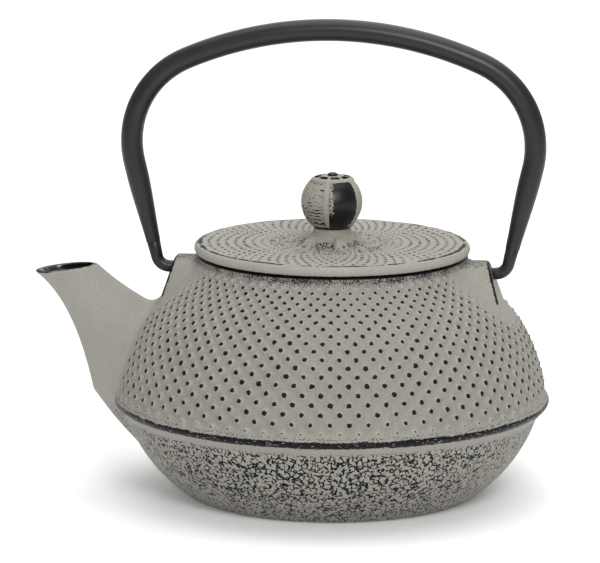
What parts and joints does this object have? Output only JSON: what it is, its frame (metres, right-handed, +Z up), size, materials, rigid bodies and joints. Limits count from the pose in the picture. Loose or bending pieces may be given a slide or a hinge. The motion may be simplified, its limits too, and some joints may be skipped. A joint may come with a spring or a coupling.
{
  "type": "cast-iron teapot with mesh infuser",
  "caption": "Squat cast-iron teapot with a hobnail shoulder, flanged waist, short spout, swinging bail handle, lift-off lid and a lift-out mesh infuser.",
  "frame": {"origin": "centre of the flat base, on the axis of the pot's round body", "axes": "+Z up along the body's axis; the spout points along -X and the handle stands in the XZ plane"},
  "size_m": [0.2012, 0.1698, 0.1854],
  "materials": {
    "grey_iron": "matt warm-grey lacquer over black, worn through to black on the high spots; black enamel inside",
    "black_steel": "satin black powder coat",
    "stainless": "satin stainless sheet",
    "mesh": "fine perforated stainless mesh"
  },
  "bodies": {
    "pot": {"pot_body": "grey_iron", "spout": "grey_iron", "handle_lug_left": "grey_iron", "handle_lug_right": "grey_iron"},
    "handle": {"handle_bow": "black_steel", "handle_hook_left": "black_steel", "handle_hook_right": "black_steel"},
    "infuser": {"infuser_collar": "stainless", "infuser_mesh_wall": "mesh", "infuser_seam": "stainless", "infuser_base_mesh": "mesh", "infuser_base_band": "stainless"},
    "lid": {"lid": "grey_iron", "knob": "grey_iron", "knob_rivet": "black_steel", "knob_washer": "stainless"}
  },
  "joints": [
    {"name": "handle_swing", "type": "hinge", "parent": "pot", "child": "handle", "pos_m": [0, 0, 0.0873], "axis": [1, 0, 0], "range_deg": [-110, 110]},
    {"name": "infuser_lift", "type": "slide", "parent": "pot", "child": "infuser", "axis": [0, 0, 1], "range_m": [0, 0.046]},
    {"name": "lid_lift", "type": "slide", "parent": "infuser", "child": "lid", "axis": [0, 0, 1], "range_m": [0, 0.046]}
  ]
}
